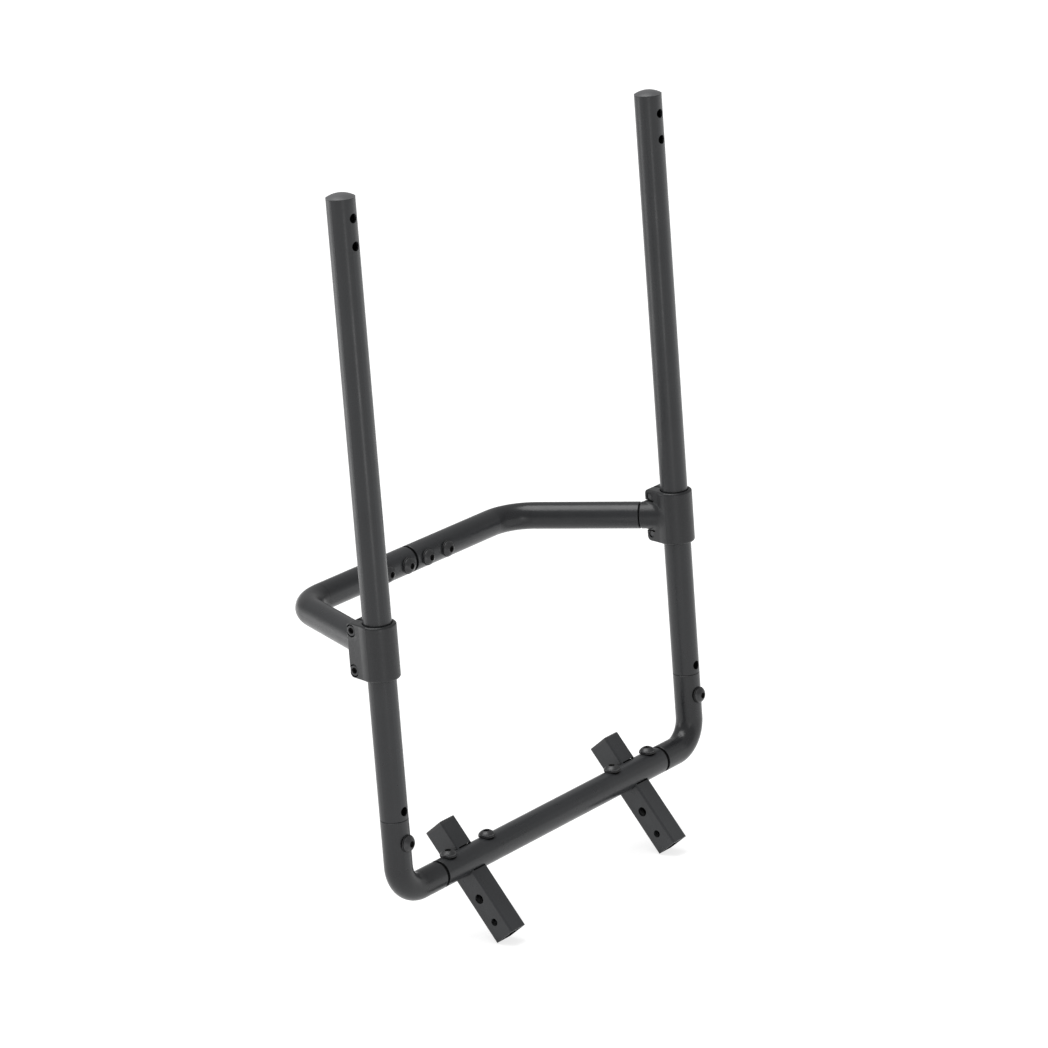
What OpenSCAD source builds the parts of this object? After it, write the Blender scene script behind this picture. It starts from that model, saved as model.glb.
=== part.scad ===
// Bolt-on passenger rail for a cargo bike: two tall uprights on a crossbar, a rear hoop that
// slides on the uprights in two split clamps, and two tilted stubs that bolt to the bike.
// Millimetres, +X along the crossbar, +Y towards the hoop, +Z up the uprights.
// The origin is midway between the two brackets, on the line of their main bolts.

/* [Rail] */
// Distance between the axes of the two uprights
upright_spacing = 435; // [360:1:525]
// Height from the crossbar axis to the rim of the upright caps
rail_height = 625; // [500:1:760]
// Outside diameter of every tube
tube_d = 25.4; // [22:0.1:30]
// Wall of every tube
tube_wall = 2; // [1.5:0.1:2.5]
// Chamfer round the open tube ends at the joints
tube_chamfer = 0.3; // [0.2:0.1:1]

/* [Lower corners] */
// Centreline radius of the lower corner bends
corner_bend_r = 26.5; // [24:0.5:34]
// Reach of a corner piece from the upright axis to the crossbar end
corner_run = 52.5; // [46:0.5:64]
// Rise of a corner piece from the crossbar axis to the upright's lower end
corner_rise = 71; // [66:0.5:90]
// Gap between the crossbar and a corner piece
crossbar_gap = 3.4; // [0.6:0.1:4]
// Gap between an upright and its corner piece
upright_gap = 0.2; // [0.1:0.1:1]

/* [Inner sleeves] */
// Wall of the inner joint sleeves
sleeve_wall = 3; // [2.5:0.1:3.5]
// Radial clearance between a sleeve and the tube round it
sleeve_clear = 0.1; // [0.05:0.01:0.2]
// Length of the sleeve that joins an upright to its corner piece
upright_sleeve_len = 70; // [60:1:72]
// Length of a crossbar sleeve inside the crossbar
crossbar_sleeve_in = 83; // [76:1:90]
// Length of a crossbar sleeve inside the corner piece
crossbar_sleeve_out = 20; // [12:1:21]
// Length of the sleeve that joins the two hoop tubes
hoop_sleeve_len = 112; // [104:1:120]

/* [Bolts] */
// Thread diameter of the joint bolts
bolt_d = 8; // [6:1:8]
// Head diameter of the joint bolts
bolt_head_d = 14.5; // [12:0.5:16]
// Head height of the joint bolts
bolt_head_h = 4.4; // [3.4:0.1:5]
// Outside diameter of the washers under the joint bolts
washer_d = 15.5; // [15:0.1:17]
// Thickness of the washers
washer_t = 1.2; // [0.8:0.1:1.6]
// Length of the joint bolts under the head
bolt_len = 16; // [10:1:18]
// Width across flats of the joint bolts' hex socket
bolt_socket_af = 5; // [4:0.5:5]
// Height of the lower bolt above the crossbar axis
lower_bolt_z = 50; // [44:0.5:56]
// Distance of the outer crossbar bolt from the end of the corner piece
crossbar_bolt_inset = 16; // [13:0.5:22]
// Distance between the two bolts beside each bracket
crossbar_bolt_pitch = 55; // [46:0.5:58]
// Shift of each bracket outwards from midway between its two bolts
bracket_shift = 1; // [0:0.1:2]
// Distance between neighbouring bolts of the hoop joint
hoop_bolt_pitch = 28.7; // [24:0.1:32]

/* [Accessory holes] */
// Diameter of the accessory holes in the uprights
accessory_hole_d = 8.4; // [6:0.1:9]
// Height of the lower accessory hole above the crossbar axis
low_hole_z = 79.5; // [78:0.5:96]
// Clearance all round the accessory hole where it passes through the sleeve
sleeve_hole_clear = 1; // [0.6:0.1:1.5]
// Distance of the highest accessory hole below the cap rim
top_hole_drop = 17.5; // [17:0.5:30]
// Distance between the two high accessory holes
top_hole_pitch = 24; // [16:0.5:40]

/* [Hoop] */
// Height of the hoop above the crossbar axis at rest
hoop_z = 225.5; // [150:1:400]
// Distance from the upright axes back to the axis of the hoop's rear run
hoop_depth = 146.5; // [120:0.5:175]
// Angle of the hoop arms inwards from straight back
arm_angle = 24.7; // [20:0.1:30]
// Centreline radius of the hoop bends
hoop_bend_r = 42; // [36:1:50]
// Gap between the two hoop tubes at the middle
hoop_gap = 3.2; // [0.6:0.1:4]

/* [Clamps] */
// Height of a clamp along the upright
clamp_h = 50; // [46:0.5:62]
// Outside diameter of the clamp round the upright
clamp_d = 33.2; // [31.5:0.1:40]
// Radial running clearance between a clamp and its upright
clamp_clear = 0.08; // [0.05:0.01:0.1]
// Distance from the upright axis back to the clamp's rear face
clamp_rear = 26.6; // [25:0.1:32]
// Inward taper of the clamp's flanks
clamp_taper = 12; // [8:0.5:14]
// Radius of the clamp's rear corners seen from the side
clamp_corner_r = 4.5; // [2:0.1:6]
// Distance of the flanks' front edges inside the ring's side
clamp_flank_inset = 0.3; // [0.2:0.05:0.6]
// Chamfer round the clamp's rims
clamp_rim_chamfer = 1.2; // [0.4:0.1:1.6]
// Flare of the bore at each end of the clamp
clamp_bore_flare = 1; // [0.4:0.1:1.6]
// Width of the slit between the clamp's ears
clamp_slit = 2; // [1:0.1:3]
// Distance of the ear slots above and below the stub
ear_slot_rise = 0.9; // [0.3:0.1:1.2]
// Width of the slots that free the inner ears from the stub
ear_slot = 1.4; // [1:0.1:1.6]
// Length of the stub from the upright axis to the hoop tube
stub_len = 32.3; // [31:0.1:40]
// Gap between the stub's shoulder and the hoop tube
stub_gap = 1.3; // [0.3:0.1:1.5]
// Length of the spigot inside the hoop tube
spigot_len = 30; // [20:1:40]
// Bore of the hollow stub
stub_core_d = 12; // [8:0.5:14]

/* [Clamp screws] */
// Thread diameter of the clamp screws
clamp_screw_d = 6; // [5:1:6]
// Head diameter of the clamp screws
clamp_head_d = 10; // [8.5:0.1:10]
// Head height of the clamp screws
clamp_head_h = 6; // [5:0.1:6]
// Width across flats of the clamp screws' hex socket
clamp_socket_af = 5; // [4:0.5:5]
// Diameter of the counterbore round a clamp screw's head
counterbore_d = 11; // [10.4:0.1:11.2]
// Distance from the upright axis back to the clamp screws
clamp_screw_y = 20.6; // [20:0.1:22]
// Height of a clamp screw above or below the middle of the clamp
clamp_screw_z = 18.1; // [17.8:0.1:22]

/* [Brackets] */
// Width of a bracket along the crossbar
bracket_w = 20; // [16:0.5:25]
// Depth of a bracket's section
bracket_t = 24; // [22:0.5:30]
// Wall of a bracket
bracket_wall = 2; // [1.5:0.1:3]
// Radius of a bracket's long edges
bracket_edge_r = 2; // [0.5:0.1:3]
// Tilt of a bracket above the horizontal
bracket_tilt = 51.7; // [40:0.1:60]
// Reach of a bracket from the crossbar axis to its open lower end
bracket_down = 76.2; // [66:0.5:90]
// Reach of a bracket from the crossbar axis to its capped upper end
bracket_up = 40.8; // [34:0.5:52]
// Distance of a bracket's front face in front of the crossbar axis
bracket_front = 6.2; // [2:0.1:8]
// Gap in the saddle between a bracket and the crossbar
saddle_gap = 0.15; // [0.05:0.01:0.3]
// Wider gap between a bracket's front wall and the crossbar
saddle_front_gap = 1.2; // [0.4:0.1:1.8]
// Diameter of the main bolt hole
main_hole_d = 9; // [8:0.1:10]
// Distance of the main bolt hole from the crossbar axis, along the bracket
main_hole_s = 35.5; // [28:0.5:40]
// Diameter of the lock bolt hole
lock_hole_d = 7; // [5:0.1:8]
// Distance of the lock bolt hole from the crossbar axis, along the bracket
lock_hole_s = 60; // [53:0.5:63]
// Thickness of the bracket end cap
bracket_cap_t = 3; // [2:0.1:5]
// Chamfer of the bracket end cap
bracket_cap_chamfer = 1.2; // [0.5:0.1:1.8]

/* [Caps] */
// Height of the straight rim of an upright cap
cap_rim_h = 0.5; // [0.4:0.1:3]
// Height of the dome above the cap rim
cap_dome_h = 3.6; // [1:0.1:5]
// Length of the plug of an upright cap
cap_plug_len = 11; // [6:0.5:11]
// Wall of the hollow cap plugs
cap_plug_wall = 1.8; // [1.2:0.1:3]
// Clearance of a cap plug inside its tube
cap_clear = 0.15; // [0.05:0.01:0.3]

/* [Hidden] */
$fn = 96;
paint = [0.2, 0.2, 0.21];
bolt_black = [0.12, 0.12, 0.13];
plastic_black = [0.26, 0.26, 0.27];
bare_steel = [0.6, 0.6, 0.62];
// Overlap that carries a cut past the face that it opens
cut = 1;
tube_r = tube_d / 2;
tube_bore_d = tube_d - 2 * tube_wall;
sleeve_d = tube_bore_d - 2 * sleeve_clear;
sleeve_bore_d = sleeve_d - 2 * sleeve_wall;
upright_x = upright_spacing / 2;
seam_x = upright_x - corner_run;
crossbar_len = 2 * seam_x - crossbar_gap;
upright_base_z = corner_rise + upright_gap / 2;
upright_top_z = rail_height - cap_rim_h;
outer_bolt_x = seam_x - crossbar_bolt_inset;
bracket_x = outer_bolt_x - crossbar_bolt_pitch / 2 + bracket_shift;
top_hole_z = rail_height - top_hole_drop;
// Clearances of a bolt in the tube wall and in the tapped sleeve
bolt_wall_clear = 0.2;
thread_clear = 0.05;
washer_lift = 0.05;
head_z = tube_r + washer_lift + washer_t;
bolt_hole_d = bolt_d + 2 * bolt_wall_clear;
tapped_hole_d = bolt_d + 2 * thread_clear;
// Straight stretch that is left between a hoop arm and its bend
arm_len = hoop_depth / cos(arm_angle);
hoop_turn = 90 - arm_angle;
hoop_tangent = hoop_bend_r * tan(hoop_turn / 2);
hoop_corner_x = upright_x - hoop_depth * tan(arm_angle);
arm_start = stub_len + stub_gap;
// Difference in diameter between the hoop's bends and straight runs, and how far the runs lap over
bend_thinning = 0.1;
bend_lap = 0.3;
clamp_r = clamp_d / 2;
clamp_bore_r = tube_r + clamp_clear;
clamp_flank_x = clamp_r - clamp_flank_inset - clamp_screw_y * tan(clamp_taper);
// The head's top and the screw's tip lie a little inside the two flanks
clamp_seat_x = clamp_flank_x - clamp_head_h - 0.3;
clamp_screw_len = clamp_seat_x + clamp_flank_x - 1.5;
bracket_lean = 90 - bracket_tilt;
bracket_mid = bracket_t / 2 - bracket_front;
bolt_line_y = bracket_mid * cos(bracket_lean) - main_hole_s * sin(bracket_lean);
bolt_line_z = -bracket_mid * sin(bracket_lean) - main_hole_s * cos(bracket_lean);

// Moves what is drawn round the crossbar axis to the part's own origin
module on_rail() translate([0, -bolt_line_y, -bolt_line_z]) children();

// Draws the right-hand form for side = 1 and its mirror image for side = -1
module handed(side) {
    if (side > 0) children();
    else mirror([1, 0, 0]) children();
}

// Solid rod up +Z from the origin, with a chamfer at its foot and, if asked, at its head
module rod(len, d, head = false) {
    foot_points = [[0, 0], [d / 2 - tube_chamfer, 0], [d / 2, tube_chamfer]];
    head_points = head ? [[d / 2, len - tube_chamfer], [d / 2 - tube_chamfer, len]] : [[d / 2, len]];
    rotate_extrude() polygon(concat(foot_points, head_points, [[0, len]]));
}

// Plain round cut along +Z that starts one cut before the origin
module bore(len, d) translate([0, 0, -cut]) cylinder(d = d, h = len + cut);

// Turns +Z to the front of the rail
module facing_front() rotate([90, 0, 0]) children();

// Straight tube with both ends chamfered
module straight_tube(len) {
    difference() {
        rod(len, tube_d, head = true);
        bore(len + cut, tube_bore_d);
    }
}

// Plain inner sleeve
module sleeve(len) {
    difference() {
        cylinder(d = sleeve_d, h = len);
        bore(len + cut, sleeve_bore_d);
    }
}

// Hex socket cut, measured across its flats, that opens at z = 0 and goes down
module hex_socket(af, depth) translate([0, 0, -depth]) cylinder(d = af / cos(30), h = depth + cut, $fn = 6);

// Button-head bolt on the outside of a tube whose axis runs through the origin, head up +Z
module joint_bolt() {
    rim_h = 1.1;
    flat_cut = 0.3;
    dome_h = bolt_head_h - rim_h + flat_cut;
    dome_r = (pow(bolt_head_d / 2, 2) + dome_h * dome_h) / (2 * dome_h);
    translate([0, 0, head_z]) difference() {
        union() {
            intersection() {
                cylinder(d = bolt_head_d, h = bolt_head_h);
                translate([0, 0, bolt_head_h + flat_cut - dome_r]) sphere(r = dome_r);
            }
            translate([0, 0, -bolt_len]) cylinder(d = bolt_d, h = bolt_len + rim_h / 2);
        }
        translate([0, 0, bolt_head_h]) hex_socket(bolt_socket_af, bolt_head_h * 0.6);
    }
}

// Washer under a joint bolt's head, round a tube whose axis runs through the origin
module washer() {
    translate([0, 0, tube_r + washer_lift]) difference() {
        cylinder(d = washer_d, h = washer_t);
        bore(washer_t + cut, bolt_hole_d);
    }
}

// Places along the crossbar of the two bolts beside the right-hand bracket
module at_crossbar_bolts() {
    for (x = [outer_bolt_x, outer_bolt_x - crossbar_bolt_pitch]) translate([x, 0, 0]) children();
}

// Places along the hoop's rear run of its bolts, head towards the front
module at_hoop_bolts() {
    for (i = [-1.5 : 1 : 1.5])
        translate([i * hoop_bolt_pitch, hoop_depth, hoop_z]) facing_front() children();
}

// Places of the two screws of the right-hand clamp, +Z along the screw to its head
module at_clamp_screws() {
    for (s = [-1, 1])
        translate([clamp_seat_x, clamp_screw_y, s * clamp_screw_z]) rotate([0, 90, 0]) children();
}

module crossbar() {
    color(paint) on_rail() difference() {
        translate([-crossbar_len / 2, 0, 0]) rotate([0, 90, 0]) straight_tube(crossbar_len);
        for (side = [-1, 1])
            handed(side) at_crossbar_bolts() cylinder(d = bolt_hole_d, h = tube_d);
    }
}

// Lower corner: a run to the crossbar, a quarter bend and a rise to the upright
module elbow_form(d, end_cut) {
    start_x = seam_x + crossbar_gap / 2 - end_cut;
    top_z = corner_rise - upright_gap / 2 + end_cut;
    run = upright_x - corner_bend_r - start_x;
    rise = top_z - corner_bend_r;
    translate([start_x, 0, 0]) rotate([0, 90, 0]) rod(run, d);
    translate([upright_x - corner_bend_r, 0, corner_bend_r]) rotate([90, 0, 0]) rotate([0, 0, -90])
        rotate_extrude(angle = 90) translate([corner_bend_r, 0]) circle(d = d);
    translate([upright_x, 0, top_z]) rotate([180, 0, 0]) rod(rise, d);
}

module elbow(side) {
    color(paint) on_rail() handed(side) difference() {
        elbow_form(tube_d, 0);
        elbow_form(tube_bore_d, cut);
        at_elbow_bolt() cylinder(d = bolt_hole_d, h = tube_d);
    }
}

module upright(side) {
    color(paint) on_rail() handed(side) difference() {
        translate([upright_x, 0, upright_base_z]) straight_tube(upright_top_z - upright_base_z);
        for (z = [low_hole_z, top_hole_z, top_hole_z - top_hole_pitch])
            translate([upright_x, 0, z]) facing_front() cylinder(d = accessory_hole_d, h = tube_d);
    }
}

module upright_sleeve(side) {
    color(bare_steel) on_rail() handed(side) difference() {
        translate([upright_x, 0, corner_rise - upright_sleeve_len / 2]) sleeve(upright_sleeve_len);
        at_elbow_bolt() cylinder(d = tapped_hole_d, h = tube_d);
        translate([upright_x, 0, low_hole_z]) facing_front()
            cylinder(d = accessory_hole_d + 2 * sleeve_hole_clear, h = tube_d);
    }
}

module crossbar_sleeve(side) {
    color(bare_steel) on_rail() handed(side) difference() {
        translate([seam_x - crossbar_sleeve_in, 0, 0]) rotate([0, 90, 0])
            sleeve(crossbar_sleeve_in + crossbar_sleeve_out);
        at_crossbar_bolts() cylinder(d = tapped_hole_d, h = tube_d);
    }
}

module crossbar_bolts(side) {
    color(bolt_black) on_rail() handed(side) at_crossbar_bolts() joint_bolt();
}

module crossbar_washers(side) {
    color(bolt_black) on_rail() handed(side) at_crossbar_bolts() washer();
}

// Place of the bolt low on the right-hand upright
module at_elbow_bolt() translate([upright_x, 0, lower_bolt_z]) facing_front() children();

module elbow_bolt(side) {
    color(bolt_black) on_rail() handed(side) at_elbow_bolt() joint_bolt();
}

module elbow_washer(side) {
    color(bolt_black) on_rail() handed(side) at_elbow_bolt() washer();
}

// Rectangle with round corners, centred on X, from y = 0 back
module rounded_section(w, t, r) {
    translate([-w / 2 + r, 0]) square([w - 2 * r, t]);
    translate([-w / 2, r]) square([w, t - 2 * r]);
    for (x = [-1, 1], y = [r, t - r]) translate([x * (w / 2 - r), y]) circle(r = r);
}

// Leans a bracket's own +Z, which runs up along it, back over the crossbar
module at_bracket() translate([bracket_x, 0, 0]) rotate([-bracket_lean, 0, 0]) children();

module bracket(side) {
    tube_len = bracket_down + bracket_up - bracket_cap_t;
    inner_w = bracket_w - 2 * bracket_wall;
    inner_t = bracket_t - 2 * bracket_wall;
    color(paint) on_rail() handed(side) at_bracket() difference() {
        translate([0, -bracket_front, -bracket_down]) linear_extrude(tube_len)
            rounded_section(bracket_w, bracket_t, bracket_edge_r);
        translate([-inner_w / 2, bracket_wall - bracket_front, -bracket_down - cut])
            cube([inner_w, inner_t, tube_len + 2 * cut]);
        rotate([0, 90, 0]) cylinder(r = tube_r + saddle_gap, h = bracket_w + cut, center = true);
        intersection() {
            rotate([0, 90, 0]) cylinder(r = tube_r + saddle_front_gap, h = inner_w, center = true);
            translate([0, bracket_wall / 2 - bracket_front, 0]) cube([inner_w, bracket_wall + cut, 4 * tube_r], center = true);
        }
        translate([0, bracket_mid, -main_hole_s]) rotate([0, 90, 0])
            cylinder(d = main_hole_d, h = bracket_w + cut, center = true);
        translate([0, bracket_mid, -lock_hole_s]) rotate([0, 90, 0])
            cylinder(d = lock_hole_d, h = bracket_w + cut, center = true);
    }
}

// Outline of a bracket cap seen from one side, with its outer edges cut off
module cap_outline(w) {
    c = bracket_cap_chamfer;
    polygon([[-w / 2, 0], [w / 2, 0], [w / 2, bracket_cap_t - c], [w / 2 - c, bracket_cap_t],
        [c - w / 2, bracket_cap_t], [-w / 2, bracket_cap_t - c]]);
}

module bracket_cap(side) {
    plug_len = 9;
    plug_w = bracket_w - 2 * bracket_wall - 2 * cap_clear;
    plug_t = bracket_t - 2 * bracket_wall - 2 * cap_clear;
    color(plastic_black) on_rail() handed(side) at_bracket()
        translate([0, bracket_mid, bracket_up - bracket_cap_t]) {
            intersection() {
                rotate([90, 0, 0]) linear_extrude(bracket_t, center = true) cap_outline(bracket_w);
                rotate([90, 0, 90]) linear_extrude(bracket_w, center = true) cap_outline(bracket_t);
                translate([0, -bracket_t / 2, 0]) linear_extrude(bracket_cap_t)
                    rounded_section(bracket_w, bracket_t, bracket_edge_r);
            }
            difference() {
                translate([-plug_w / 2, -plug_t / 2, -plug_len]) cube([plug_w, plug_t, plug_len + cut]);
                translate([cap_plug_wall - plug_w / 2, cap_plug_wall - plug_t / 2, -plug_len - cut])
                    cube([plug_w - 2 * cap_plug_wall, plug_t - 2 * cap_plug_wall, plug_len + cut]);
            }
        }
}

module top_cap(side) {
    dome_r = (tube_r * tube_r + cap_dome_h * cap_dome_h) / (2 * cap_dome_h);
    plug_d = tube_bore_d - 2 * cap_clear;
    color(plastic_black) on_rail() handed(side) translate([upright_x, 0, upright_top_z]) {
        cylinder(r = tube_r, h = cap_rim_h);
        intersection() {
            cylinder(r = tube_r, h = cap_rim_h + cap_dome_h);
            translate([0, 0, cap_rim_h + cap_dome_h - dome_r]) sphere(r = dome_r);
        }
        difference() {
            translate([0, 0, -cap_plug_len]) cylinder(d = plug_d, h = cap_plug_len + cap_rim_h / 2);
            translate([0, 0, -cap_plug_len]) bore(cap_plug_len, plug_d - 2 * cap_plug_wall);
        }
    }
}

// Ears of the right-hand clamp: tapered flanks seen from above, round rear corners seen from the side
module clamp_ears() {
    half = clamp_h / 2;
    front_x = clamp_r - clamp_flank_inset;
    rear_x = front_x - clamp_rear * tan(clamp_taper);
    corner = clamp_rear - clamp_corner_r;
    difference() {
        translate([0, 0, -half]) linear_extrude(clamp_h)
            polygon([[-front_x, 0], [front_x, 0], [rear_x, clamp_rear], [-rear_x, clamp_rear]]);
        for (s = [-1, 1]) scale([1, 1, s]) difference() {
            translate([-clamp_r, corner, half - clamp_corner_r])
                cube([clamp_d, clamp_corner_r + cut, clamp_corner_r + cut]);
            translate([0, corner, half - clamp_corner_r]) rotate([0, 90, 0])
                cylinder(r = clamp_corner_r, h = 2 * clamp_d, center = true);
        }
    }
}

// Solid blank of the ring round the upright, with chamfered rims
module clamp_ring() {
    c = clamp_rim_chamfer;
    half = clamp_h / 2;
    rotate_extrude() polygon([[0, -half], [clamp_r - c, -half], [clamp_r, c - half],
        [clamp_r, half - c], [clamp_r - c, half], [0, half]]);
}

// Cut between the clamp's ears, above and below the stub, with the slots that free the inner ear
module ear_cuts() {
    half = clamp_h / 2;
    slot_y = clamp_screw_y - clamp_head_d / 2;
    slot_z = tube_r + ear_slot_rise;
    for (s = [-1, 1]) scale([1, 1, s]) {
        translate([-clamp_slit / 2, 0, slot_z]) cube([clamp_slit, clamp_rear + cut, half - slot_z + cut]);
        translate([-clamp_d, slot_y, slot_z]) cube([clamp_d, clamp_rear - slot_y + cut, ear_slot]);
    }
}

module clamp(side) {
    half = clamp_h / 2;
    color(paint) on_rail() handed(side) translate([upright_x, 0, hoop_z]) difference() {
        union() {
            clamp_ring();
            clamp_ears();
            rotate([-90, 0, arm_angle]) cylinder(d = tube_d, h = stub_len);
            rotate([-90, 0, arm_angle]) cylinder(d = sleeve_d, h = stub_len + spigot_len);
        }
        cylinder(r = clamp_bore_r, h = clamp_h + cut, center = true);
        for (s = [-1, 1]) scale([1, 1, s]) translate([0, 0, half - clamp_bore_flare])
            cylinder(r1 = clamp_bore_r, r2 = clamp_bore_r + 2 * clamp_bore_flare, h = 2 * clamp_bore_flare);
        rotate([-90, 0, arm_angle]) translate([0, 0, stub_len - 2])
            cylinder(d = stub_core_d, h = spigot_len + 2 + cut);
        ear_cuts();
        at_clamp_screws() {
            cylinder(d = counterbore_d, h = clamp_d);
            cylinder(d = clamp_screw_d + 2 * thread_clear, h = 2 * clamp_d, center = true);
        }
    }
}

module clamp_screws(side) {
    color(bolt_black) on_rail() handed(side) translate([upright_x, 0, hoop_z]) at_clamp_screws() difference() {
        union() {
            cylinder(d = clamp_head_d, h = clamp_head_h);
            translate([0, 0, -clamp_screw_len]) cylinder(d = clamp_screw_d, h = clamp_screw_len + cut);
        }
        translate([0, 0, clamp_head_h]) hex_socket(clamp_socket_af, clamp_head_h / 2);
    }
}

// Half of the hoop: an arm, a bend and half of the rear run. The bend is a hair thinner than the
// straight runs, which lap over its ends.
module hoop_form(d, end_cut) {
    arm_end = arm_len - hoop_tangent + bend_lap;
    rear_start = hoop_gap / 2 - end_cut;
    rear_end = hoop_corner_x - hoop_tangent + bend_lap;
    translate([upright_x, 0, hoop_z]) rotate([0, 0, arm_angle])
        translate([0, arm_start - end_cut, 0]) rotate([-90, 0, 0]) rod(arm_end - arm_start + end_cut, d);
    translate([hoop_corner_x - hoop_tangent, hoop_depth - hoop_bend_r, hoop_z]) rotate([0, 0, arm_angle])
        rotate_extrude(angle = hoop_turn) translate([hoop_bend_r, 0]) circle(d = d - bend_thinning);
    translate([rear_start, hoop_depth, hoop_z]) rotate([0, 90, 0]) rod(rear_end - rear_start, d);
}

module hoop_tube(side) {
    color(paint) on_rail() difference() {
        handed(side) difference() {
            hoop_form(tube_d, 0);
            hoop_form(tube_bore_d, cut);
        }
        at_hoop_bolts() cylinder(d = bolt_hole_d, h = tube_d);
    }
}

module hoop_sleeve() {
    color(bare_steel) on_rail() difference() {
        translate([-hoop_sleeve_len / 2, hoop_depth, hoop_z]) rotate([0, 90, 0]) sleeve(hoop_sleeve_len);
        at_hoop_bolts() cylinder(d = tapped_hole_d, h = tube_d);
    }
}

module hoop_bolts() {
    color(bolt_black) on_rail() at_hoop_bolts() joint_bolt();
}

module hoop_washers() {
    color(bolt_black) on_rail() at_hoop_bolts() washer();
}

crossbar();
elbow(-1);  // left_elbow
elbow(1);  // right_elbow
upright(-1);  // left_upright
upright(1);  // right_upright
upright_sleeve(-1);  // left_upright_sleeve
upright_sleeve(1);  // right_upright_sleeve
crossbar_sleeve(-1);  // left_crossbar_sleeve
crossbar_sleeve(1);  // right_crossbar_sleeve
bracket(-1);  // left_bracket
bracket(1);  // right_bracket
bracket_cap(-1);  // left_bracket_cap
bracket_cap(1);  // right_bracket_cap
top_cap(-1);  // left_top_cap
top_cap(1);  // right_top_cap
crossbar_bolts(-1);  // left_crossbar_bolts
crossbar_bolts(1);  // right_crossbar_bolts
crossbar_washers(-1);  // left_crossbar_washers
crossbar_washers(1);  // right_crossbar_washers
elbow_bolt(-1);  // left_elbow_bolt
elbow_bolt(1);  // right_elbow_bolt
elbow_washer(-1);  // left_elbow_washer
elbow_washer(1);  // right_elbow_washer
clamp(-1);  // left_clamp
clamp(1);  // right_clamp
clamp_screws(-1);  // left_clamp_screws
clamp_screws(1);  // right_clamp_screws
hoop_tube(-1);  // left_hoop_tube
hoop_tube(1);  // right_hoop_tube
hoop_sleeve();
hoop_bolts();
hoop_washers();
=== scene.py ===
"""Looks of a cargo bike's passenger rail: coated tubes, cast clamps, bolts and a plain studio.

Lengths are in metres, or in millimetres where a name ends in _MM. The rail's own places come from
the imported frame.
"""

import math

import bpy
import numpy as np
from mathutils import Matrix, Vector


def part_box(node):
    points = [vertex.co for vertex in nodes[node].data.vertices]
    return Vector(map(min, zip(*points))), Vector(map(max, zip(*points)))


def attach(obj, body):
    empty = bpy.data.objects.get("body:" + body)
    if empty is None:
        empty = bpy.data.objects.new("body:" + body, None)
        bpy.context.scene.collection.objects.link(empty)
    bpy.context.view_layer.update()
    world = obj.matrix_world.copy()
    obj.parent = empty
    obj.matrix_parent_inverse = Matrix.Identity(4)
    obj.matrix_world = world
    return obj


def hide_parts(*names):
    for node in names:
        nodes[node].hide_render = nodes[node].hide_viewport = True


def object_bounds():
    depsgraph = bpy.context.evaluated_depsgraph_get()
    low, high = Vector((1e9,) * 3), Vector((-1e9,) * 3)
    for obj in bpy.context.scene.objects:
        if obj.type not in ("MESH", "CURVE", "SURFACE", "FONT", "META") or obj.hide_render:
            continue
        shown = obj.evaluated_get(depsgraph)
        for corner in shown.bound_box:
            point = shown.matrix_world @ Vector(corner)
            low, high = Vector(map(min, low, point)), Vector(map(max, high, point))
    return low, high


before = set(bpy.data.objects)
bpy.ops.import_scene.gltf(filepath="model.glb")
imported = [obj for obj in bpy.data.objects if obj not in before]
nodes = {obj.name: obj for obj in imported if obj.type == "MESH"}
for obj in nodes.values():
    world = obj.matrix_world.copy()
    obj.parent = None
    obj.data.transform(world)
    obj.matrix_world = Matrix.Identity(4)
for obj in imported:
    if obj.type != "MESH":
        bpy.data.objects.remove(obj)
cad_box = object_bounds()

MM = 0.001


def added(name, data):
    """A new object in the scene."""
    thing = bpy.data.objects.new(name, data)
    bpy.context.scene.collection.objects.link(thing)
    return thing


def middle(node):
    """Middle of a CAD node's box."""
    low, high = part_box(node)
    return (low + high) / 2


# ---------------------------------------------------------------- camera
LENS_MM = 155.12
SENSOR_MM = 36.0
CLIP_END = 50
CAMERA_FROM_CROSSBAR = Vector((-3.0061, -2.4280, 1.4290))
VIEW_BACK = Vector((-0.74484, -0.60311, 0.28543))
VIEW_RIGHT = Vector((0.61053, -0.78861, -0.07315))


def add_camera():
    """Long lens from the front left and above, turned a little about its own axis."""
    camera = added("camera", bpy.data.cameras.new("camera"))
    camera.data.lens = LENS_MM
    camera.data.sensor_width = SENSOR_MM
    camera.data.clip_end = CLIP_END
    back = VIEW_BACK.normalized()
    right = (VIEW_RIGHT - back * VIEW_RIGHT.dot(back)).normalized()
    turn = Matrix((right, back.cross(right), back)).transposed()
    camera.matrix_world = Matrix.Translation(middle("crossbar") + CAMERA_FROM_CROSSBAR) @ turn.to_4x4()
    bpy.context.scene.camera = camera


# ---------------------------------------------------------------- materials
OCCLUSION_SAMPLES = 6
# Brightness of the painted shade in a bore against the coat round it, and of the painted highlight on a
# convex edge against the black oxide
BORE_SHADE_TONE = 0.15
EDGE_HIGHLIGHT_TONE = 3


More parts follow.
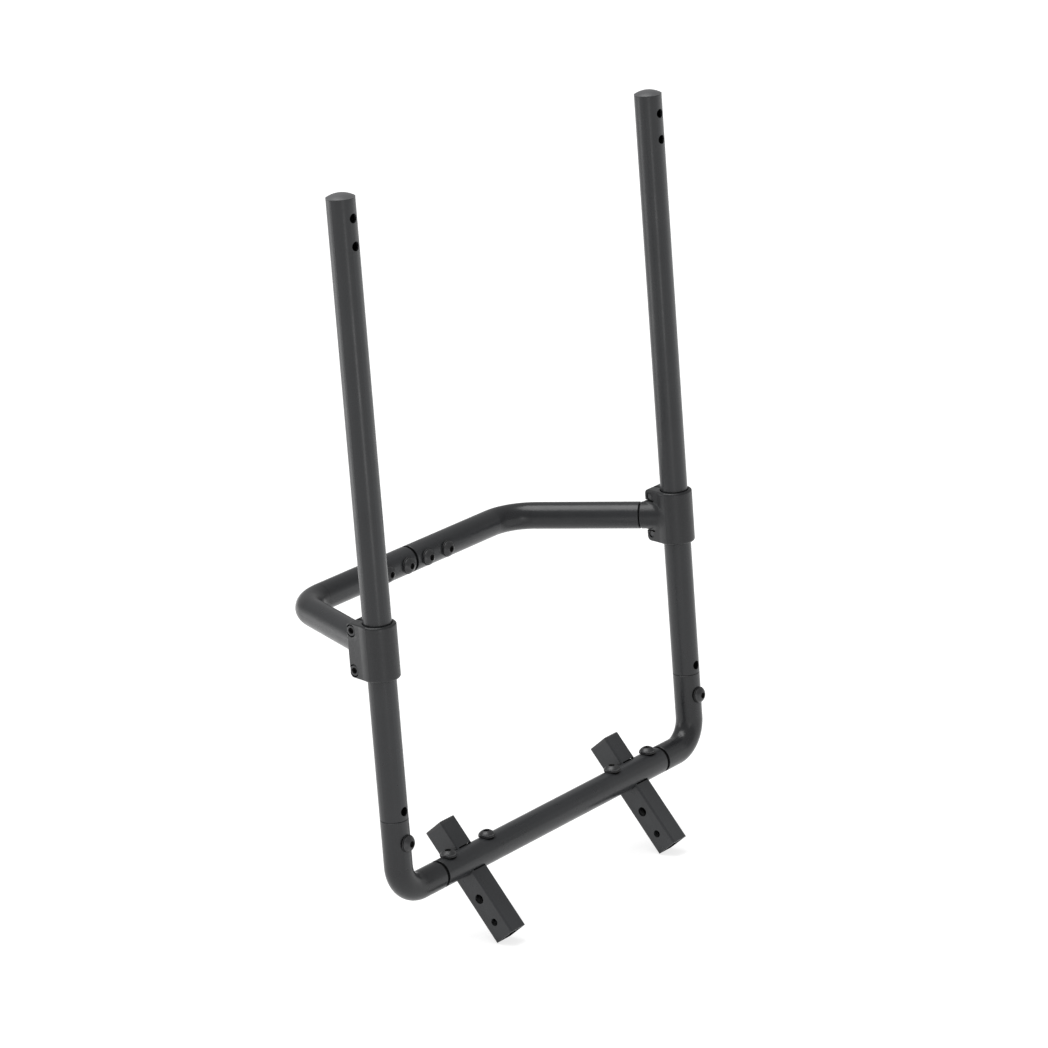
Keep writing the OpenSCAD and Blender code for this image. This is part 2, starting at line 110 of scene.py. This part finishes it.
class Finish:
    """A Principled material with procedural colour, roughness and relief over object coordinates."""

    def __init__(self, name, **uniform):
        self.material = bpy.data.materials.new(name)
        self.material.use_nodes = True
        self.tree = self.material.node_tree
        self.shader = self.tree.nodes["Principled BSDF"]
        self.place = self.tree.nodes.new("ShaderNodeTexCoord").outputs["Object"]
        self.normal = None
        for socket, value in uniform.items():
            self.shader.inputs[socket.replace("_", " ")].default_value = value

    def noise(self, size, detail, stretch=(1, 1, 1)):
        """Noise whose features are about `size` metres across."""
        mapping = self.tree.nodes.new("ShaderNodeMapping")
        mapping.inputs["Scale"].default_value = stretch
        self.tree.links.new(self.place, mapping.inputs["Vector"])
        node = self.tree.nodes.new("ShaderNodeTexNoise")
        node.inputs["Scale"].default_value = 1 / size
        node.inputs["Detail"].default_value = detail
        self.tree.links.new(mapping.outputs["Vector"], node.inputs["Vector"])
        return node.outputs["Fac"]

    def remap(self, value, low, high, start=0.3, end=0.7):
        """Stretches the part of `value` between start and end to low..high."""
        node = self.tree.nodes.new("ShaderNodeMapRange")
        for socket, number in (("From Min", start), ("From Max", end), ("To Min", low), ("To Max", high)):
            node.inputs[socket].default_value = number
        self.tree.links.new(value, node.inputs["Value"])
        return node.outputs["Result"]

    def mix(self, share, first, second):
        """Colour between two colours, or between a colour's output and a colour."""
        node = self.tree.nodes.new("ShaderNodeMix")
        node.data_type = "RGBA"
        self.tree.links.new(share, node.inputs["Factor"])
        for socket, value in ((node.inputs[6], first), (node.inputs[7], second)):
            if isinstance(value, bpy.types.NodeSocket):
                self.tree.links.new(value, socket)
            else:
                socket.default_value = (*value, 1)
        return node.outputs[2]

    def edges(self, start, end, strength):
        """Share from 0 on flats to `strength` on convex edges."""
        pointiness = self.tree.nodes.new("ShaderNodeNewGeometry").outputs["Pointiness"]
        return self.remap(pointiness, 0, strength, start, end)

    def relief(self, height, depth):
        """Adds a relief of `depth` metres over what is there."""
        bump = self.tree.nodes.new("ShaderNodeBump")
        bump.inputs["Distance"].default_value = depth
        self.tree.links.new(height, bump.inputs["Height"])
        if self.normal:
            self.tree.links.new(self.normal, bump.inputs["Normal"])
        self.normal = bump.outputs["Normal"]
        self.tree.links.new(self.normal, self.shader.inputs["Normal"])

    def hollows(self, reach):
        """Share from 0 in bores and deep corners to 1 in the open."""
        node = self.tree.nodes.new("ShaderNodeAmbientOcclusion")
        node.samples = OCCLUSION_SAMPLES
        node.inputs["Distance"].default_value = reach
        return self.remap(node.outputs["AO"], low=0, high=1, start=0.3, end=0.65)

    def colour(self, output):
        self.tree.links.new(output, self.shader.inputs["Base Color"])

    def roughness(self, output):
        self.tree.links.new(output, self.shader.inputs["Roughness"])

    def gloss(self, output):
        self.tree.links.new(output, self.shader.inputs["Specular IOR Level"])


def coat(name, dark, light, fleck_and_edge_highlight, rough, grain, grain_depth, peel_depth):
    """Satin powder coat: cloudy tone, grain, soft orange peel, painted highlight on convex edges, and
    painted shade in bores: darker and duller there.
    """
    finish = Finish(name, Metallic=0.0, IOR=1.4)
    clouds = finish.remap(finish.noise(size=0.045, detail=3), low=0, high=1)
    speckle = finish.remap(finish.noise(size=grain, detail=1), low=0, high=0.22, start=0.45, end=0.8)
    # Painted highlight: convex edges are lightened towards the colour of the grain's flecks
    edge_highlight = finish.edges(start=0.53, end=0.62, strength=0.5)
    tone = finish.mix(edge_highlight, finish.mix(speckle, finish.mix(clouds, dark, light), fleck_and_edge_highlight), fleck_and_edge_highlight)
    # Painted shade: an occlusion mask darkens the colour and weakens the reflection in bores and deep
    # corners
    open_share = finish.hollows(reach=0.02)
    inside = finish.remap(open_share, low=1, high=0, start=0, end=1)
    finish.colour(finish.mix(inside, tone, tuple(BORE_SHADE_TONE * c for c in dark)))
    finish.gloss(finish.remap(open_share, low=0.02, high=0.5, start=0, end=1))
    finish.roughness(finish.remap(finish.noise(size=0.02, detail=4), *rough))
    finish.relief(finish.noise(size=0.0042, detail=1), peel_depth)
    finish.relief(finish.noise(size=grain, detail=2), grain_depth)
    return finish.material


def blackened_steel(name, dark, light, rough):
    """Black oxide on steel: faint oil clouds, and convex edges lightened as a painted highlight."""
    finish = Finish(name, Metallic=0.35, IOR=1.6)
    clouds = finish.remap(finish.noise(size=0.004, detail=3), low=0, high=1)
    edge_highlight = finish.edges(start=0.52, end=0.6, strength=0.5)
    # Painted highlight: convex edges are lightened to a multiple of the light tone
    highlight_tone = tuple(EDGE_HIGHLIGHT_TONE * c for c in light)
    finish.colour(finish.mix(edge_highlight, finish.mix(clouds, dark, light), highlight_tone))
    finish.roughness(finish.remap(finish.noise(size=0.003, detail=3), *rough))
    finish.relief(finish.noise(size=0.0006, detail=2), depth=0.000015)
    return finish.material


def moulded_plastic(name, dark, light, rough):
    """Moulded plastic with a spark-eroded grain. It also serves the dull black of washers, and the
    near-black painted shade inside sockets.
    """
    finish = Finish(name, Metallic=0.0, IOR=1.48)
    clouds = finish.remap(finish.noise(size=0.012, detail=2), low=0, high=1)
    finish.colour(finish.mix(clouds, dark, light))
    finish.roughness(finish.remap(finish.noise(size=0.006, detail=3), *rough))
    finish.relief(finish.noise(size=0.0007, detail=3), depth=0.00004)
    return finish.material


def drawn_steel(name, dark, light, rough):
    """Drawn steel tube, near black as painted shade for the seam gaps it shows in, with lengthwise streaks
    in tone and roughness.
    """
    finish = Finish(name, Metallic=0.0, IOR=1.3)
    streaks = finish.noise(size=0.0012, detail=3, stretch=(1, 1, 0.04))
    finish.colour(finish.mix(finish.remap(streaks, low=0, high=1), dark, light))
    finish.roughness(finish.remap(streaks, *rough))
    finish.relief(streaks, depth=0.00002)
    return finish.material


MAKERS = {
    "powder_coat": (coat, {
        "dark": (0.0145, 0.015, 0.0163), "light": (0.0185, 0.019, 0.0204), "fleck_and_edge_highlight": (0.042, 0.044, 0.047),
        "rough": (0.26, 0.34), "grain": 0.0009, "grain_depth": 0.00003, "peel_depth": 0.00006}),
    "cast_coat": (coat, {
        "dark": (0.0155, 0.0161, 0.0174), "light": (0.0195, 0.0201, 0.0215), "fleck_and_edge_highlight": (0.045, 0.047, 0.05),
        "rough": (0.32, 0.42), "grain": 0.0012, "grain_depth": 0.00006, "peel_depth": 0.0001}),
    "fastener_black": (blackened_steel, {
        "dark": (0.022, 0.0225, 0.024), "light": (0.032, 0.0325, 0.034), "rough": (0.34, 0.46)}),
    # Painted shade for the inside of hex sockets
    "socket_black": (moulded_plastic, {
        "dark": (0.0015, 0.0015, 0.0016), "light": (0.0025, 0.0025, 0.0026), "rough": (0.8, 0.9)}),
    "washer_black": (moulded_plastic, {
        "dark": (0.006, 0.006, 0.007), "light": (0.009, 0.009, 0.01), "rough": (0.6, 0.75)}),
    # Top and bracket caps are one plastic: the top caps' lighter tone is painted light from above, the
    # bracket caps' darker tone painted shade
    "top_cap": (moulded_plastic, {
        "dark": (0.078, 0.079, 0.082), "light": (0.096, 0.097, 0.1), "rough": (0.34, 0.46)}),
    "bracket_cap": (moulded_plastic, {
        "dark": (0.024, 0.0245, 0.026), "light": (0.03, 0.0305, 0.032), "rough": (0.34, 0.46)}),
    # Painted shade: the sleeves show only in the seam gaps, and their near-black colour stands in for the
    # shade there
    "sleeve_steel": (drawn_steel, {
        "dark": (0.003, 0.003, 0.003), "light": (0.006, 0.006, 0.006), "rough": (0.7, 0.85)}),
}
FINISHES = {name: make(name, **values) for name, (make, values) in MAKERS.items()}

# The first word found in a node's name gives its finish, and a name with none of them is powder coated
FINISH_WORDS = {
    "washer": "washer_black",
    "sleeve": "sleeve_steel",
    "top_cap": "top_cap",
    "bracket_cap": "bracket_cap",
    "bolt": "fastener_black",
    "screw": "fastener_black",
    "clamp": "cast_coat",
}


def finish_of(node):
    """Finish of a CAD node, from its name."""
    for word, finish in FINISH_WORDS.items():
        if word in node:
            return FINISHES[finish]
    return FINISHES["powder_coat"]


def dress_nodes():
    """Gives every slot of every CAD node its finish."""
    for name, node in nodes.items():
        if not node.material_slots:
            node.data.materials.append(None)
        for slot in node.material_slots:
            slot.material = finish_of(name)


# ---------------------------------------------------------------- cast clamps
# Sizes of the right-hand clamp from the upright axis: +X out, +Y back, +Z up. They are the CAD clamp's,
# but its rims are rounded instead of chamfered, its counterbores are 0.2 mm wider in radius so that
# their dark ring shows, and its stub is solid, as it can't be seen into.
CLAMP_H_MM = 50.0
CLAMP_R_MM = 16.6
RIM_R_MM = 2.2
BORE_R_MM = 12.8
BORE_LIP_MM = 0.9
CLAMP_REAR_MM = 26.6
FLANK_TAPER = math.radians(12)
FLANK_FRONT_MM = 16.3
REAR_CORNER_MM = 4.5
EAR_EDGE_MM = 1.2
STUB_R_MM = 12.7
STUB_LEN_MM = 32.3
SPIGOT_R_MM = 10.6
SPIGOT_LEN_MM = 30.0
STUB_FILLET_MM = 3.0
ARM_ANGLE = math.radians(24.7)
SLIT_MM = 2.0
EAR_SLOT_Z_MM = 13.6
EAR_SLOT_MM = 1.4
EAR_SLOT_Y_MM = 15.6
SCREW_Y_MM = 20.6
SCREW_Z_MM = 18.1
SCREW_SEAT_MM = 5.62
COUNTERBORE_R_MM = 5.7
THREAD_R_MM = 3.05
CUT_EDGE_MM = 0.35
STUB_EDGE_MM = 0.6
RING_FILLET_MM = 0.8
# Grid on which the clamp's surface is found, and how far it reaches
CLAMP_GRID_MM = 0.5
RING_REACH_MM = 18
ARM_REACH_MM = 37
END_MARGIN_MM = 1
SPIGOT_MARGIN_MM = 6
# Settling of the surface: rounds, distance over which a slope is taken, and the least slope squared
SETTLE_ROUNDS = 3
SLOPE_REACH_MM = 0.02
LEAST_SLOPE = 0.25
CLAMP_FACES_KEPT = 0.45
CLAMP_CREASE = math.radians(50)


def rounded_and(a, b, radius):
    """Intersection of two distance fields with its edge rounded off."""
    u, v = np.maximum(a + radius, 0), np.maximum(b + radius, 0)
    return np.minimum(np.maximum(a, b), -radius) + np.hypot(u, v)


def rounded_or(a, b, radius):
    """Union of two distance fields with a fillet in its corner."""
    return -rounded_and(-a, -b, radius)


def clamp_field(points):
    """Signed distance, in millimetres, from points to the surface of the right-hand clamp."""
    x, y, z = points
    half = CLAMP_H_MM / 2
    radius = np.hypot(x, y)
    height = np.abs(z)
    ring = rounded_and(radius - CLAMP_R_MM, height - half, RIM_R_MM)
    flank = (np.abs(x) - FLANK_FRONT_MM + y * math.tan(FLANK_TAPER)) * math.cos(FLANK_TAPER)
    side_view = rounded_and(y - CLAMP_REAR_MM, height - half, REAR_CORNER_MM)
    ears = np.maximum(rounded_and(flank, side_view, EAR_EDGE_MM), -y)
    along = -x * math.sin(ARM_ANGLE) + y * math.cos(ARM_ANGLE)
    across = x * math.cos(ARM_ANGLE) + y * math.sin(ARM_ANGLE)
    from_axis = np.hypot(across, z)
    stub = np.maximum(rounded_and(from_axis - STUB_R_MM, along - STUB_LEN_MM, STUB_EDGE_MM), -along)
    spigot_end = along - STUB_LEN_MM - SPIGOT_LEN_MM
    spigot = np.maximum(rounded_and(from_axis - SPIGOT_R_MM, spigot_end, STUB_EDGE_MM), -along)
    blank = rounded_or(rounded_or(ring, ears, RING_FILLET_MM), stub, STUB_FILLET_MM)
    blank = np.minimum(blank, spigot)
    slit = np.maximum(np.maximum(np.abs(x) - SLIT_MM / 2, EAR_SLOT_Z_MM - height), -y)
    from_slot = np.abs(height - EAR_SLOT_Z_MM - EAR_SLOT_MM / 2) - EAR_SLOT_MM / 2
    ear_slot = np.maximum(np.maximum(from_slot, EAR_SLOT_Y_MM - y), x)
    from_screw = np.hypot(y - SCREW_Y_MM, height - SCREW_Z_MM)
    counterbore = np.maximum(from_screw - COUNTERBORE_R_MM, SCREW_SEAT_MM - x)
    cuts = np.minimum(np.minimum(slit, ear_slot), np.minimum(counterbore, from_screw - THREAD_R_MM))
    body = rounded_and(blank, -cuts, CUT_EDGE_MM)
    return rounded_and(body, BORE_R_MM - radius, BORE_LIP_MM)


def grid_surface(field, low, high, step):
    """Quads on the zero surface of a field, one vertex for each cell that the surface crosses."""
    axes = [np.arange(a, b + step, step) for a, b in zip(low, high)]
    values = field(np.meshgrid(*axes, indexing="ij", sparse=True))
    inside = values < 0
    corners = [tuple(slice(c, c - 1 or None) for c in corner) for corner in np.ndindex(2, 2, 2)]
    count = sum(inside[c].astype(np.int8) for c in corners)
    crossed = (count > 0) & (count < 8)
    cells = np.array(np.nonzero(crossed))
    index = np.full(crossed.shape, -1)
    index[crossed] = np.arange(cells.shape[1])
    total = np.zeros(cells.shape)
    hits = np.zeros(cells.shape[1])
    for axis in range(3):
        for corner in np.ndindex(2, 2, 2):
            if corner[axis]:
                continue
            start = cells + np.array(corner)[:, None]
            end = start.copy()
            end[axis] += 1
            a, b = values[tuple(start)], values[tuple(end)]
            crosses = (a < 0) != (b < 0)
            share = np.where(crosses, a / np.where(crosses, a - b, 1), 0)
            point = start.astype(float)
            point[axis] += share
            total += point * crosses
            hits += crosses
    points = np.array(low)[:, None] + step * total / hits
    quads = []
    for axis in range(3):
        second, third = (axis + 1) % 3, (axis + 2) % 3
        first_end = [slice(1, -1)] * 3
        last_end = [slice(1, -1)] * 3
        first_end[axis], last_end[axis] = slice(None, -1), slice(1, None)
        a, b = inside[tuple(first_end)], inside[tuple(last_end)]
        for mask, ring in ((a & ~b, (0, 1, 2, 3)), (b & ~a, (3, 2, 1, 0))):
            at = np.array(np.nonzero(mask))
            at[second] += 1
            at[third] += 1
            around = []
            for back_second, back_third in ((1, 1), (0, 1), (0, 0), (1, 0)):
                cell = at.copy()
                cell[second] -= back_second
                cell[third] -= back_third
                around.append(index[tuple(cell)])
            quads.append(np.array(around)[list(ring)].T)
    return points, np.concatenate(quads)


def settle(field, points, step):
    """Moves points onto the zero surface along the field's slope."""
    for _ in range(SETTLE_ROUNDS):
        value = field(points)
        ahead = [field(points + SLOPE_REACH_MM * unit[:, None]) for unit in np.eye(3)]
        slope = (np.array(ahead) - value) / SLOPE_REACH_MM
        move = value * slope / np.maximum((slope ** 2).sum(0), LEAST_SLOPE)
        points = points - np.clip(move, -step / 3, step / 3)
    return points


def baked(piece, crease):
    """Applies a piece's modifiers and shades it smooth, apart from edges sharper than the crease angle."""
    bpy.context.view_layer.update()
    mesh = bpy.data.meshes.new_from_object(piece.evaluated_get(bpy.context.evaluated_depsgraph_get()))
    piece.modifiers.clear()
    piece.data = mesh
    mesh.name = piece.name
    mesh.shade_smooth()
    mesh.set_sharp_from_angle(angle=crease)


def cast_clamp(side, shape):
    """Visible clamp with cast rims, fillets and true cuts, in place of the CAD clamp."""
    points, quads = shape
    name = ("right" if side > 0 else "left") + "_clamp"
    low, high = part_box(name)
    axis = Vector((middle(name.replace("clamp", "upright")).x, middle("crossbar").y, (low.z + high.z) / 2))
    places = points.T * MM * (side, 1, 1) + np.array(axis)
    mesh = bpy.data.meshes.new(name + "_casting")
    mesh.from_pydata(places.tolist(), [], (quads if side > 0 else quads[:, ::-1]).tolist())
    piece = added(name + "_casting", mesh)
    piece.modifiers.new("thin", "DECIMATE").ratio = CLAMP_FACES_KEPT
    baked(piece, CLAMP_CREASE)
    piece.data.materials.append(FINISHES["cast_coat"])
    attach(piece, "hoop")
    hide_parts(name)


def add_clamps():
    """Finds the right-hand clamp's surface once, and makes both clamps from it."""
    half = CLAMP_H_MM / 2 + END_MARGIN_MM
    reach = (STUB_LEN_MM + SPIGOT_LEN_MM) * math.cos(ARM_ANGLE) + SPIGOT_MARGIN_MM
    low, high = (-ARM_REACH_MM, -RING_REACH_MM, -half), (RING_REACH_MM, reach, half)
    points, quads = grid_surface(clamp_field, low, high, CLAMP_GRID_MM)
    shape = settle(clamp_field, points, CLAMP_GRID_MM), quads
    for side in (-1, 1):
        cast_clamp(side, shape)


# ---------------------------------------------------------------- fasteners
# A fastener is a stack of rings from the middle of its head's top, each (height, radius, sides): round
# with 0 sides, or a hexagon whose radius is half its width across flats. The outside sizes are the CAD
# fasteners', but a cap screw's head is 0.25 mm smaller in radius so that the dark ring round it shows,
# and the sockets are deeper and countersunk.
AROUND = 72
ROUND, HEX = 0, 6
SOCKET_BANDS = 3
FASTENER_CREASE = math.radians(28)
WELD = 0.000002
BUTTON_RIM_MM = 7.25
BUTTON_RIM_EDGE_MM = 0.25
BUTTON_HEIGHT_MM = 4.4
BUTTON_DOME_MM = 9.1
BUTTON_FLAT_MM = 0.3
BUTTON_MOUTH_MM = 3.1
DOME_RINGS = 13
SHANK_MM = 16.0
SHANK_R_MM = 4.0
SHANK_TIP_MM = 0.6
SOCKET_MM = 2.5
SOCKET_DEPTH_MM = 2.9
DRILL_POINT_MM = 0.8
COUNTERSINK_MM = 0.32
CAP_HEAD_CAD_R_MM = 5.0
CAP_HEAD_R_MM = 4.75
CAP_HEAD_MM = 6.0
CAP_HEAD_EDGE_MM = 0.7
CAP_SOCKET_DEPTH_MM = 3.2
CAP_MOUTH_MM = 2.95
CAP_SHANK_R_MM = 3.0


def socket_rings(depth, drop, mouth):
    """Rings of a hex socket with a drill point, up to its round mouth, which lies `drop` below the top."""
    return [(-depth - DRILL_POINT_MM, 0.0, ROUND), (-depth, SOCKET_MM, HEX),
            (-COUNTERSINK_MM - drop, SOCKET_MM, HEX), (-drop, mouth, ROUND)]


def button_rings():
    """Rings of a button-head bolt, from the socket's bottom over the head and down to the shank's tip."""
    crown = BUTTON_DOME_MM - BUTTON_FLAT_MM
    drop = crown - math.sqrt(BUTTON_DOME_MM ** 2 - BUTTON_MOUTH_MM ** 2)
    low = crown - math.sqrt(BUTTON_DOME_MM ** 2 - BUTTON_RIM_MM ** 2)
    dome = []
    for share in np.linspace(0, 1, DOME_RINGS + 1)[1:]:
        height = drop + (low - drop) * share
        dome.append((-height, math.sqrt(BUTTON_DOME_MM ** 2 - (crown - height) ** 2), ROUND))
    foot, tip = -BUTTON_HEIGHT_MM, -BUTTON_HEIGHT_MM - SHANK_MM
    rim = [(foot + BUTTON_RIM_EDGE_MM, BUTTON_RIM_MM, ROUND),
           (foot, BUTTON_RIM_MM - BUTTON_RIM_EDGE_MM, ROUND)]
    shank = [(foot, SHANK_R_MM, ROUND), (tip + SHANK_TIP_MM, SHANK_R_MM, ROUND),
             (tip, SHANK_R_MM - SHANK_TIP_MM, ROUND), (tip, 0.0, ROUND)]
    return socket_rings(SOCKET_DEPTH_MM, drop, BUTTON_MOUTH_MM) + dome + rim + shank


def cap_rings(length):
    """Rings of a socket cap screw of this whole length."""
    edge, foot = CAP_HEAD_EDGE_MM, -CAP_HEAD_MM
    head = [(0, CAP_HEAD_R_MM - edge, ROUND), (-edge / 4, CAP_HEAD_R_MM - edge / 4, ROUND),
            (-edge, CAP_HEAD_R_MM, ROUND), (foot, CAP_HEAD_R_MM, ROUND)]
    shank = [(foot, CAP_SHANK_R_MM, ROUND), (-length, CAP_SHANK_R_MM, ROUND), (-length, 0.0, ROUND)]
    return socket_rings(CAP_SOCKET_DEPTH_MM, 0.0, CAP_MOUTH_MM) + head + shank


def turned(rings):
    """Points and quads of a closed shape with the given rings, round or six-sided, round +Z."""
    points, quads = [], []
    for height, radius, sides in rings:
        for i in range(AROUND):
            angle = 2 * math.pi * i / AROUND
            reach = radius
            if sides:
                reach = radius / math.cos(angle % (math.pi / 3) - math.pi / 6)
            points.append((reach * math.cos(angle), reach * math.sin(angle), height))
    for k in range(len(rings) - 1):
        for i in range(AROUND):
            j = (i + 1) % AROUND
            quads.append((k * AROUND + i, (k + 1) * AROUND + i, (k + 1) * AROUND + j, k * AROUND + j))
    return points, quads


def fasteners(name, body, rings, places, pointing):
    """Detailed fasteners in place of a CAD node's: one at each place, heads pointing the given way."""
    points, quads = turned(rings)
    turn = Vector(pointing).to_track_quat("Z", "Y").to_matrix()
    vertices, faces = [], []
    for place in places:
        start = len(vertices)
        vertices += [tuple(turn @ Vector(point) * MM + Vector(place)) for point in points]
        faces += [tuple(start + i for i in quad) for quad in quads]
    mesh = bpy.data.meshes.new(name + "_detailed")
    mesh.from_pydata(vertices, [], faces)
    mesh.materials.append(FINISHES["fastener_black"])
    mesh.materials.append(FINISHES["socket_black"])
    for i, face in enumerate(mesh.polygons):
        # The socket's bands, down to its mouth, get the near-black painted shade
        face.material_index = int(i % len(quads) < SOCKET_BANDS * AROUND)
    piece = added(name + "_detailed", mesh)
    piece.modifiers.new("weld", "WELD").merge_threshold = WELD
    baked(piece, FASTENER_CREASE)
    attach(piece, body)
    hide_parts(name)


def add_fasteners():
    """Detailed fasteners at the places of the CAD ones, read from their nodes' boxes."""
    edge = BUTTON_RIM_MM * MM
    for side in ("left", "right"):
        name = side + "_crossbar_bolts"
        (low, high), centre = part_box(name), middle(name)
        places = [(x, centre.y, high.z) for x in (low.x + edge, high.x - edge)]
        fasteners(name, "frame", button_rings(), places, (0, 0, 1))
        name = side + "_elbow_bolt"
        centre = middle(name)
        fasteners(name, "frame", button_rings(), [(centre.x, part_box(name)[0].y, centre.z)], (0, -1, 0))
        name = side + "_clamp_screws"
        (low, high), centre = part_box(name), middle(name)
        head = CAP_HEAD_CAD_R_MM * MM
        out = 1 if side == "right" else -1
        top = high.x if out > 0 else low.x
        places = [(top, centre.y, z) for z in (low.z + head, high.z - head)]
        fasteners(name, "hoop", cap_rings((high.x - low.x) / MM), places, (out, 0, 0))
    (low, high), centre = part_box("hoop_bolts"), middle("hoop_bolts")
    places = [(x, low.y, centre.z) for x in np.linspace(low.x + edge, high.x - edge, 4)]
    fasteners("hoop_bolts", "hoop", button_rings(), places, (0, -1, 0))


# ---------------------------------------------------------------- studio
FLOOR_DROP = 0.0005
FLOOR_SIZE = 40.0
FLOOR_TONES = (0.34, 0.34, 0.34), (0.36, 0.36, 0.36)
FLOOR_GLOW = 0.78
WHITE = (1, 1, 1, 1)
# The rail is lit by the first and stands before the second
WORLD_LIGHT = 0.46
BACKDROP = 1.1
TOP_LIGHT = 2.45
TOP_LIGHT_ANGLE = math.radians(46)
TOP_LIGHT_FROM = Vector((-0.18, 0.18, 0.97))


def add_floor():
    """Plain pale floor just under the rail, with a glow of its own that keeps shadows faint."""
    half = FLOOR_SIZE / 2
    level = cad_box[0][2] - FLOOR_DROP
    mesh = bpy.data.meshes.new("floor")
    corners = [(x * half, y * half, level) for x, y in ((-1, -1), (1, -1), (1, 1), (-1, 1))]
    mesh.from_pydata(corners, [], [(0, 1, 2, 3)])
    floor = added("floor", mesh)
    finish = Finish("floor_paper", Metallic=0.0)
    finish.shader.inputs["Specular IOR Level"].default_value = 0.0
    finish.shader.inputs["Roughness"].default_value = 0.9
    finish.colour(finish.mix(finish.remap(finish.noise(size=1.5, detail=1), low=0, high=1), *FLOOR_TONES))
    finish.shader.inputs["Emission Color"].default_value = WHITE
    finish.shader.inputs["Emission Strength"].default_value = FLOOR_GLOW
    mesh.materials.append(finish.material)


def add_strip(name, bearing, distance, width, low, high, radiance):
    """Upright soft strip from low to high, at a bearing in degrees from the camera, unseen itself."""
    light = bpy.data.lights.new(name, "AREA")
    light.shape = "RECTANGLE"
    light.size, light.size_y = width, high - low
    light.energy = radiance * math.pi * width * (high - low)
    lamp = added(name, light)
    towards_camera = Vector((VIEW_BACK.x, VIEW_BACK.y, 0)).normalized()
    towards = Matrix.Rotation(math.radians(bearing), 3, "Z") @ towards_camera
    lamp.location = towards * distance + Vector((0, 0, (low + high) / 2))
    lamp.rotation_euler = towards.to_track_quat("Z", "Y").to_euler()
    lamp.visible_camera = False


def add_world():
    """Even light all round, brighter where the camera sees it than where the rail does."""
    world = bpy.data.worlds.new("studio")
    world.use_nodes = True
    tree = world.node_tree
    around = tree.nodes["Background"]
    seen = tree.nodes.new("ShaderNodeBackground")
    for background, strength in ((around, WORLD_LIGHT), (seen, BACKDROP)):
        background.inputs["Color"].default_value = WHITE
        background.inputs["Strength"].default_value = strength
    choose = tree.nodes.new("ShaderNodeMixShader")
    tree.links.new(tree.nodes.new("ShaderNodeLightPath").outputs["Is Camera Ray"], choose.inputs["Fac"])
    tree.links.new(around.outputs["Background"], choose.inputs[1])
    tree.links.new(seen.outputs["Background"], choose.inputs[2])
    tree.links.new(choose.outputs["Shader"], tree.nodes["World Output"].inputs["Surface"])
    bpy.context.scene.world = world


def add_lamps():
    """Broad light from above, and strips that draw the edge lines along the tubes."""
    top = added("top_light", bpy.data.lights.new("top_light", "SUN"))
    top.data.energy = TOP_LIGHT
    top.data.angle = TOP_LIGHT_ANGLE
    top.rotation_euler = TOP_LIGHT_FROM.to_track_quat("Z", "Y").to_euler()
    add_strip("left_strip", bearing=-100, distance=1.1, width=0.5, low=0.0, high=0.55, radiance=1.9)
    add_strip("front_strip", bearing=8, distance=1.2, width=0.1, low=0.03, high=0.35, radiance=8.5)
    add_strip("right_fill", bearing=112, distance=1.2, width=0.6, low=0.0, high=0.6, radiance=0.4)


add_camera()
dress_nodes()
add_clamps()
add_fasteners()
add_floor()
add_world()
add_lamps()
bpy.context.scene.view_settings.view_transform = "Standard"
